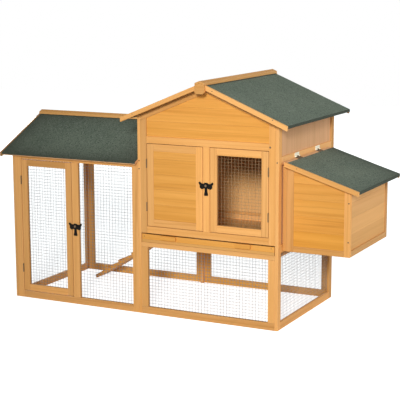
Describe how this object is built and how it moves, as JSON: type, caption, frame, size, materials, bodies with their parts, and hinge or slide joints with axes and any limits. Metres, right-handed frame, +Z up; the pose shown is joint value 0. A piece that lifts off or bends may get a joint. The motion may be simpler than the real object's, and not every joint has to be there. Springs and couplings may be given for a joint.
{
  "type": "chicken coop with run",
  "caption": "Free-standing wooden chicken coop: a gabled hen house on legs over a wire pen, with a side nest box under a felted lid and a roofed wire run with a door and a ramp.",
  "frame": {"origin": "on the ground, under the middle of the whole object's box", "axes": "+X along the coop from the run to the nest box, -Y towards the doors, +Z up"},
  "size_m": [1.8094, 0.796, 1.0979],
  "materials": {
    "fir_battens": "honey stained softwood, satin",
    "fir_boards": "honey stained softwood boards, satin",
    "roof_felt": "green mineral roofing felt, rough",
    "welded_wire": "galvanised, satin",
    "bright_steel": "zinc plated",
    "black_paint": "satin black"
  },
  "bodies": {
    "coop": {"house_front_frame": "fir_battens", "house_back_frame": "fir_battens", "house_left_frame": "fir_battens", "house_right_frame": "fir_battens", "lower_front_frame": "fir_battens", "lower_back_frame": "fir_battens", "run_front_frame": "fir_battens", "run_back_frame": "fir_battens", "run_left_frame": "fir_battens", "nest_front_frame": "fir_battens", "nest_back_frame": "fir_battens", "nest_outer_rails": "fir_battens", "house_verge_boards": "fir_battens", "house_ridge_cap": "fir_battens", "run_verge_boards": "fir_battens", "run_ridge_cap": "fir_battens", "roof_bearers": "fir_battens", "tray_runners": "fir_battens", "house_front_boards": "fir_boards", "house_back_boards": "fir_boards", "house_left_boards": "fir_boards", "house_right_boards": "fir_boards", "nest_boards": "fir_boards", "nest_floor": "fir_boards", "nest_divider": "fir_boards", "run_gable_boards": "fir_boards", "house_roof_decks": "fir_boards", "run_roof_decks": "fir_boards", "house_roof_felts": "roof_felt", "run_roof_felts": "roof_felt", "lower_front_mesh": "welded_wire", "lower_back_mesh": "welded_wire", "lower_right_mesh": "welded_wire", "run_front_mesh": "welded_wire", "run_back_mesh": "welded_wire", "run_left_mesh": "welded_wire", "fixed_hinge_leaves": "bright_steel", "hinge_pins": "bright_steel", "screws": "bright_steel"},
    "left_door": {"left_door_frame": "fir_battens", "left_door_boards": "fir_boards", "left_door_hinge_leaves": "bright_steel"},
    "right_door": {"right_door_frame": "fir_battens", "right_door_mesh": "welded_wire", "right_door_hinge_leaves": "bright_steel"},
    "run_door": {"run_door_frame": "fir_battens", "run_door_mesh": "welded_wire", "run_door_hinge_leaves": "bright_steel"},
    "house_latch": {"house_latch": "black_paint"},
    "run_latch": {"run_latch": "black_paint"},
    "nest_lid": {"lid_deck": "fir_boards", "lid_felt": "roof_felt", "lid_edge_strips": "fir_battens", "lid_hinge_leaves": "bright_steel"},
    "tray": {"tray_front": "fir_battens", "tray_box": "fir_boards"},
    "ramp": {"ramp": "fir_boards", "ramp_hinge_leaves": "bright_steel"}
  },
  "joints": [
    {"name": "left_door_hinge", "type": "hinge", "parent": "coop", "child": "left_door", "pos_m": [-0.104, -0.334, 0.6085], "axis": [0, 0, -1], "range_deg": [0, 110]},
    {"name": "right_door_hinge", "type": "hinge", "parent": "coop", "child": "right_door", "pos_m": [0.5015, -0.334, 0.6085], "axis": [0, 0, 1], "range_deg": [0, 110]},
    {"name": "run_door_hinge", "type": "hinge", "parent": "coop", "child": "run_door", "pos_m": [-0.799, -0.334, 0.3655], "axis": [0, 0, -1], "range_deg": [0, 110]},
    {"name": "house_latch_turn", "type": "hinge", "parent": "coop", "child": "house_latch", "pos_m": [0.19875, -0.3335, 0.6275], "axis": [0, -1, 0], "range_deg": [-90, 90]},
    {"name": "run_latch_turn", "type": "hinge", "parent": "coop", "child": "run_latch", "pos_m": [-0.4945, -0.3335, 0.3805], "axis": [0, -1, 0], "range_deg": [-90, 90]},
    {"name": "nest_lid_hinge", "type": "hinge", "parent": "coop", "child": "nest_lid", "pos_m": [0.55255, -0.0065, 0.75697], "axis": [0, -1, 0], "range_deg": [0, 80]},
    {"name": "tray_slide", "type": "slide", "parent": "coop", "child": "tray", "axis": [0, -1, 0], "range_m": [0, 0.5]},
    {"name": "ramp_hinge", "type": "hinge", "parent": "coop", "child": "ramp", "pos_m": [-0.15505, 0.222, 0.343], "axis": [0, 1, 0], "range_deg": [0, 50]}
  ]
}
